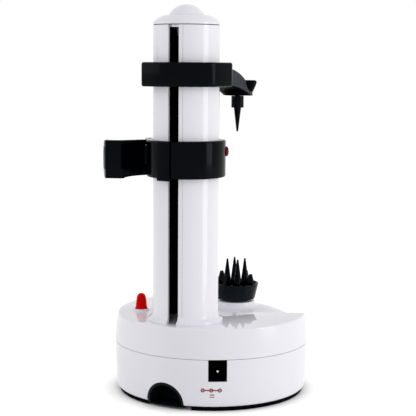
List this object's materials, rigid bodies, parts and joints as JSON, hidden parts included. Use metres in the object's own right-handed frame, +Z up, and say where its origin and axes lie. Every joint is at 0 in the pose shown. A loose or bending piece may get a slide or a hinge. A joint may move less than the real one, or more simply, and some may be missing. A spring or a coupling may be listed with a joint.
{
  "type": "electric peeler",
  "caption": "Countertop electric peeler: round motor base with spiked food cup, slotted lead-screw tower, sprung peeling arm on a sliding carriage and a sliding upper spike holder.",
  "frame": {"origin": "centre of the round base at the height of the floor it stands on, 1.5 mm below the bottom plate's flat underside", "axes": "+Z up along the tower; -Y is the face with the power socket; +X is to the right when that face is looked at"},
  "size_m": [0.1548, 0.1474, 0.2905],
  "materials": {
    "white_gloss": "gloss",
    "grey_plastic": "matte",
    "black_plastic": "semi-gloss",
    "black_rubber": "matte",
    "red_cap": "gloss",
    "red_button": "gloss",
    "gear_plastic": "matte",
    "steel": "brushed",
    "blade_steel": "polished",
    "brass": "satin"
  },
  "bodies": {
    "base": {"lower_shell": "white_gloss", "upper_shell": "white_gloss", "bottom_plate": "grey_plastic", "foot_ring": "black_rubber", "notch_liner": "black_plastic", "shell_screw_1": "steel", "shell_screw_2": "steel", "shell_screw_3": "steel", "shell_screw_4": "steel", "dc_socket": "black_plastic", "dc_pin": "steel", "gear_frame": "grey_plastic", "start_bezel": "white_gloss", "start_spring": "steel", "start_switch": "black_plastic", "motor_can": "steel", "motor_end_bell": "black_plastic", "motor_screw_1": "steel", "motor_screw_2": "steel", "compound_pin": "steel", "idler_pin": "steel", "turntable_foot_bush": "brass", "turntable_bush": "brass", "tower_tube": "white_gloss", "tower_liner": "black_plastic", "tower_screw_1": "steel", "tower_screw_2": "steel", "top_cap": "white_gloss", "cap_dome": "white_gloss", "screw_foot_bush": "brass", "screw_top_bush": "brass"},
    "turntable": {"turntable_gear": "gear_plastic", "turntable_shaft": "steel", "food_cup": "black_plastic", "cup_screw": "steel"},
    "compound": {"compound_gear": "gear_plastic"},
    "idler": {"idler_gear": "gear_plastic"},
    "screw": {"lead_screw": "steel", "screw_gear": "gear_plastic"},
    "motor_rotor": {"motor_shaft": "steel", "motor_pinion": "brass"},
    "start": {"start_button": "red_cap"},
    "carriage": {"carriage_ring": "black_plastic", "carriage_guard": "black_plastic", "release_spring": "steel", "hinge_pin": "steel", "arm_spring": "steel"},
    "release": {"release_yoke": "black_plastic", "release_button": "red_button"},
    "arm": {"peel_arm": "black_plastic", "blade_pin": "steel"},
    "blade": {"blade_head": "black_plastic", "peel_blade": "blade_steel"},
    "holder": {"upper_holder": "black_plastic", "holder_pad": "black_rubber"},
    "spike": {"upper_spike": "black_plastic", "spike_clip": "steel"}
  },
  "joints": [
    {"name": "turntable_spin", "type": "hinge", "parent": "base", "child": "turntable", "pos_m": [0.0196, 0.0382, 0.0613], "axis": [0, 0, 1], "continuous": true},
    {"name": "compound_spin", "type": "hinge", "parent": "base", "child": "compound", "pos_m": [-0.01033, 0.03018, 0.038], "axis": [0, 0, 1], "continuous": true},
    {"name": "idler_spin", "type": "hinge", "parent": "base", "child": "idler", "pos_m": [0.00381, -0.00711, 0.0395], "axis": [0, 0, 1], "continuous": true},
    {"name": "screw_spin", "type": "hinge", "parent": "base", "child": "screw", "pos_m": [-0.01935, -0.03466, 0.0395], "axis": [0, 0, 1], "continuous": true},
    {"name": "motor_spin", "type": "hinge", "parent": "base", "child": "motor_rotor", "pos_m": [-0.0308, 0.01584, 0.0344], "axis": [0, 0, 1], "continuous": true},
    {"name": "start_press", "type": "slide", "parent": "base", "child": "start", "axis": [0, 0, -1], "range_m": [0, 0.0025], "stiffness_N_per_m": 400, "deforming": ["start_spring"]},
    {"name": "carriage_slide", "type": "slide", "parent": "base", "child": "carriage", "axis": [0, 0, 1], "range_m": [-0.088, 0.038]},
    {"name": "release_press", "type": "slide", "parent": "carriage", "child": "release", "axis": [-1, 0, 0], "range_m": [0, 0.0015], "stiffness_N_per_m": 600, "deforming": ["release_spring"]},
    {"name": "peel_arm_swing", "type": "hinge", "parent": "carriage", "child": "arm", "pos_m": [-0.0474, -0.0172, 0.179], "axis": [0, 0, -1], "range_deg": [0, 75]},
    {"name": "blade_swivel", "type": "hinge", "parent": "arm", "child": "blade", "pos_m": [-0.074, 0.0388, 0.179], "axis": [0, 0, 1], "range_deg": [-15, 15]},
    {"name": "holder_slide", "type": "slide", "parent": "base", "child": "holder", "axis": [0, 0, 1], "range_m": [-0.038, 0.0255]},
    {"name": "spike_spin", "type": "hinge", "parent": "holder", "child": "spike", "pos_m": [0.0196, 0.0382, 0.2237], "axis": [0, 0, 1], "continuous": true}
  ],
  "couplings": [
    {"joint": "compound_spin", "follows": "turntable_spin", "ratio": -3.4286},
    {"joint": "motor_spin", "follows": "turntable_spin", "ratio": 13.714},
    {"joint": "idler_spin", "follows": "turntable_spin", "ratio": -1},
    {"joint": "screw_spin", "follows": "turntable_spin", "ratio": 2}
  ]
}
